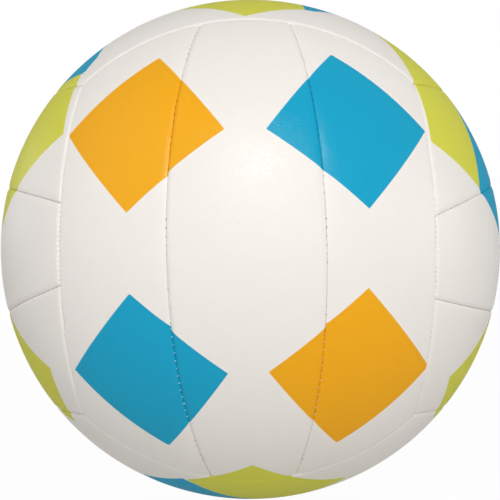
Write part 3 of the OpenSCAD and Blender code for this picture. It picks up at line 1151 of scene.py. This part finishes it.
@dataclass
class Valve:
    """The rubber valve behind the hole in the back: its collar and flange, and its soft core.

    Heights are millimetres from the middle of the ball, and radii are millimetres.
    """

    channel: float = 1.0
    core: float = 2.2
    core_foot: float = 2.8
    seat_gap: float = 0.05
    collar: float = 3.4
    collar_face: float = 104.5
    lip: float = 0.35
    stem: float = 4.5
    stem_tip: float = 3.8
    stem_end: float = 89.45
    stem_taper: float = 92.95
    air_hole: float = 1.2
    foot_low: float = 91.5
    foot_high: float = 93.0
    flange: float = 13.0
    flange_in: float = 101.1
    flange_out: float = 102.1
    funnel: float = 1.6
    funnel_depth: float = 0.8
    # Bevels and roundings: of the bore's mouth and the core's lip, of the stem's tip and the flange's
    # rim with its height, of the fillet below the collar, and of the core's foot
    mouth: float = 0.25
    tip: float = 0.3
    rim_height: float = 0.4
    fillet: float = 0.5
    foot_bevel: float = 0.2
    # Sharper edges than this angle aren't shaded smooth
    sharp: float = 35.0

    def arc(self, radius: float, first: float, last: float, steps: int = 6) -> list[tuple[float, float]]:
        """Points of a ball-shaped face between two distances from the axis."""
        return [(r, math.sqrt(radius * radius - r * r)) for r in np.linspace(first, last, steps)]

    def round_lip(self, outer: float, top: float, size: float, steps: int = 5) -> list[tuple[float, float]]:
        """Points of a rounded outer edge, from its side to its top."""
        turns = [math.pi / 2 * i / steps for i in range(steps + 1)]
        return [(outer - size + size * math.cos(t), top - size + size * math.sin(t)) for t in turns]

    def body_outline(self) -> list[tuple[float, float]]:
        """Half section of the valve's body."""
        bore, foot = self.core + self.seat_gap, self.core_foot + self.seat_gap
        return [
            (self.air_hole, self.stem_end),
            (self.stem_tip - self.tip, self.stem_end),
            (self.stem_tip, self.stem_end + self.tip),
            (self.stem, self.stem_taper),
            *self.arc(self.flange_in, self.stem, self.flange - self.tip),
            (self.flange, math.sqrt(self.flange_in**2 - self.flange**2) + self.rim_height),
            *self.arc(self.flange_out, self.flange - self.tip, self.collar + self.fillet),
            (self.collar, self.flange_out + self.fillet),
            *self.round_lip(self.collar, self.collar_face, self.lip),
            (bore + self.mouth, self.collar_face),
            (bore, self.collar_face - self.mouth),
            (bore, self.foot_high + self.seat_gap),
            (foot, self.foot_high + self.seat_gap),
            (foot, self.foot_low - self.seat_gap),
            (self.air_hole, self.foot_low - self.seat_gap),
        ]

    def core_outline(self) -> list[tuple[float, float]]:
        """Half section of the core, with the funnel that leads the needle in."""
        funnel = self.collar_face - self.funnel_depth
        turns = [math.pi / 2 * i / 4 for i in range(5)]
        reach = self.funnel - self.channel
        lead_in = [
            (self.channel + reach * (1 - math.sin(turn)), funnel + self.funnel_depth * math.cos(turn))
            for turn in turns
        ]
        return [
            (self.channel, self.foot_low),
            (self.core_foot - self.foot_bevel, self.foot_low),
            (self.core_foot, self.foot_low + self.foot_bevel),
            (self.core_foot, self.foot_high),
            (self.core, self.foot_high),
            *self.round_lip(self.core, self.collar_face, self.mouth, 3),
            *lead_in,
        ]

    def lathe(self, outline: list[tuple[float, float]], name: str, steps: int = 72) -> Object:
        """Turns a half section round the valve's axis, which leaves the ball along +Y."""
        bm = bmesh.new()
        corners = [bm.verts.new((r * MM, h * MM, 0)) for r, h in outline]
        edges = [bm.edges.new(pair) for pair in zip(corners, corners[1:] + corners[:1])]
        geometry = corners + edges
        bmesh.ops.spin(
            bm, geom=geometry, cent=(0, 0, 0), axis=(0, 1, 0), angle=math.tau, steps=steps, use_merge=True
        )
        bmesh.ops.remove_doubles(bm, verts=bm.verts, dist=0.001 * MM)
        bmesh.ops.recalc_face_normals(bm, faces=bm.faces)
        return finished(mesh_of(bm, name), name)

    def build(self) -> None:
        """Makes the valve's pieces and dresses those that the CAD model keeps."""
        body = self.lathe(self.body_outline(), "valve_collar_and_stem")
        grey = ValveRubber("moulded_grey_rubber", "57595A", "83847F")
        dress(body, grey.material(), "valve_rubber", "valve_body")
        core = self.lathe(self.core_outline(), "valve_needle_core")
        black = ValveRubber("moulded_black_rubber", "1C1C1D", "3A3A39")
        dress(core, black.material(), "core_rubber", "valve_core")
        for piece in (body, core):
            smooth_by_angle(piece, self.sharp)
        bladder = ValveRubber("butyl_bladder_rubber", "26272A", "4A4B4C", roughness=0.55, mottle=12.0)
        for node, material, slot in (
            ("bladder", bladder.material(), "bladder_rubber"),
            ("valve_washer", WovenCloth().material(), "washer_cloth"),
        ):
            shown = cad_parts[node]
            shown.data.materials.clear()
            shown.data.materials.append(material)
            LOG.info("%s: dressed", node)


def smooth_by_angle(piece: Object, degrees: float) -> None:
    """Shades a piece smooth, but for the edges that are sharper than an angle."""
    bm = bmesh.new()
    bm.from_mesh(piece.data)
    for edge in bm.edges:
        edge.smooth = not edge.is_manifold or edge.calc_face_angle(0.0) < math.radians(degrees)
    for face in bm.faces:
        face.smooth = True
    bm.to_mesh(piece.data)
    bm.free()


@dataclass(frozen=True)
class Lamp:
    """A square soft lamp that faces the ball: its place as seen from the ball, in degrees and metres."""

    name: str
    azimuth: float
    elevation: float
    power: float
    size: float = 0.5
    distance: float = 1.3

    def build(self) -> None:
        """Hangs the lamp."""
        data = bpy.data.lights.new(self.name, "AREA")
        data.shape = "SQUARE"
        data.size, data.energy = self.size, self.power
        lamp = bpy.data.objects.new(self.name, data)
        bpy.context.scene.collection.objects.link(lamp)
        way = towards(math.radians(self.azimuth), math.radians(self.elevation)) @ Group.FRONT.axes
        lamp.location = way * self.distance
        lamp.rotation_mode = "QUATERNION"
        lamp.rotation_quaternion = (-Vector(way)).to_track_quat("-Z", "Y")


@dataclass(frozen=True)
class Studio:
    """A pale floor, soft lamps and the camera."""

    room_light: float = 0.03
    floor_colour: str = "DADADA"
    floor_roughness: float = 0.9
    floor_size: float = 3.0
    # Share of white in the floor as the camera sees it
    floor_white: float = 0.97
    lamps: tuple[Lamp, ...] = (
        Lamp("upper_key", 4.0, 36.0, 5.6, size=0.30),
        Lamp("lower_key", 8.0, 17.0, 7.55, size=1.1),
        Lamp("right", 85.0, 8.0, 3.2),
        Lamp("left", -60.0, 28.0, 4.0, size=1.4),
        Lamp("left_back", -125.0, 12.0, 2.4),
        Lamp("back", 180.0, 8.0, 7.5),
    )

    # The camera's distance, the radius of the photographed outline and the photograph's width in
    # pixels, the ball's turn in degrees, and the ball's place in pixels
    distance: float = 3.423 * BALL_RADIUS * MM
    silhouette: float = 249.65
    frame_width: int = 500
    sensor: float = 36.0
    turn: tuple[float, float, float] = (0.039, -0.185, -0.729)
    ball_at: tuple[float, float] = (250.4, 249.3)
    nearest: float = 0.01

    def camera(self) -> None:
        """Stands the camera where the photograph was taken from."""
        about_x, about_y, about_z = (
            Matrix.Rotation(math.radians(angle), 3, axis) for angle, axis in zip(self.turn, "XYZ")
        )
        back = (about_z @ about_y @ about_x).transposed()
        shares = self.distance / (BALL_RADIUS * MM)
        data = bpy.data.cameras.new("camera")
        data.sensor_width = self.sensor
        data.lens = self.silhouette * math.sqrt(shares * shares - 1) * self.sensor / self.frame_width
        data.shift_x = (self.frame_width / 2 - self.ball_at[0]) / self.frame_width
        data.shift_y = (self.ball_at[1] - self.frame_width / 2) / self.frame_width
        camera = bpy.data.objects.new("camera", data)
        bpy.context.scene.collection.objects.link(camera)
        look = Matrix(((1, 0, 0), (0, 0, -1), (0, 1, 0)))
        place = Matrix.Translation(back @ Vector((0, -self.distance, 0)))
        camera.matrix_world = place @ (back @ look).to_4x4()
        data.clip_start = self.nearest
        bpy.context.scene.camera = camera

    def show_white(self, tree: NodeTree, kind: str, usual: NodeSocket, share: float) -> None:
        """Shows white by a share to the rays from the camera, off gloss and through glass.

        Args:
            tree: Node tree of the floor or of the world.
            kind: Type of the white node.
            usual: What the other rays meet.
            share: Share of the white.
        """
        ray = add_node(tree, "ShaderNodeLightPath")
        seen = ray.outputs["Is Camera Ray"]
        for name in ("Is Glossy Ray", "Is Transmission Ray"):
            either = {0: seen, 1: ray.outputs[name]}
            seen = add_node(tree, "ShaderNodeMath", either, operation="MAXIMUM").outputs[0]
        seen = add_node(tree, "ShaderNodeMath", {0: seen, 1: share}, operation="MULTIPLY").outputs[0]
        white = add_node(tree, kind, {"Color": linear(WHITE), "Strength": 1.0}).outputs[0]
        mixed = add_node(tree, "ShaderNodeMixShader", {0: seen, 1: usual, 2: white})
        out = next(node for node in tree.nodes if node.type.startswith("OUTPUT"))
        tree.links.new(mixed.outputs["Shader"], out.inputs["Surface"])

    def floor(self) -> None:
        """Lays the floor, which is white to the camera and still keeps the ball's shadow."""
        bm = bmesh.new()
        bmesh.ops.create_grid(bm, x_segments=8, y_segments=8, size=self.floor_size)
        bmesh.ops.translate(bm, verts=bm.verts, vec=(0, 0, -BALL_RADIUS * MM))
        floor = finished(mesh_of(bm, "floor"), "floor")
        material, shader = new_material("white_paper_floor")
        shader.inputs["Base Color"].default_value = linear(self.floor_colour)
        shader.inputs["Roughness"].default_value = self.floor_roughness
        self.show_white(material.node_tree, "ShaderNodeEmission", shader.outputs["BSDF"], self.floor_white)
        floor.data.materials.append(material)

    def world(self) -> None:
        """Fills the room with soft light and shows the camera a white background."""
        world = bpy.data.worlds.new("studio")
        bpy.context.scene.world = world
        world.use_nodes = True
        light = world.node_tree.nodes["Background"]
        light.inputs["Color"].default_value = linear(WHITE)
        light.inputs["Strength"].default_value = self.room_light
        self.show_white(world.node_tree, "ShaderNodeBackground", light.outputs["Background"], 1.0)

    def build(self) -> None:
        """Sets up the whole studio."""
        scene = bpy.context.scene
        scene.view_settings.view_transform = "Standard"
        self.floor()
        self.world()
        self.camera()
        for lamp in self.lamps:
            lamp.build()


def main() -> None:
    """Builds the dressed ball and its studio in order."""
    logging.basicConfig(level=logging.INFO, format="%(name)s: %(message)s")
    Cover().build()
    Stitching().build()
    Valve().build()
    Studio().build()


if __name__ == "__main__":
    main()
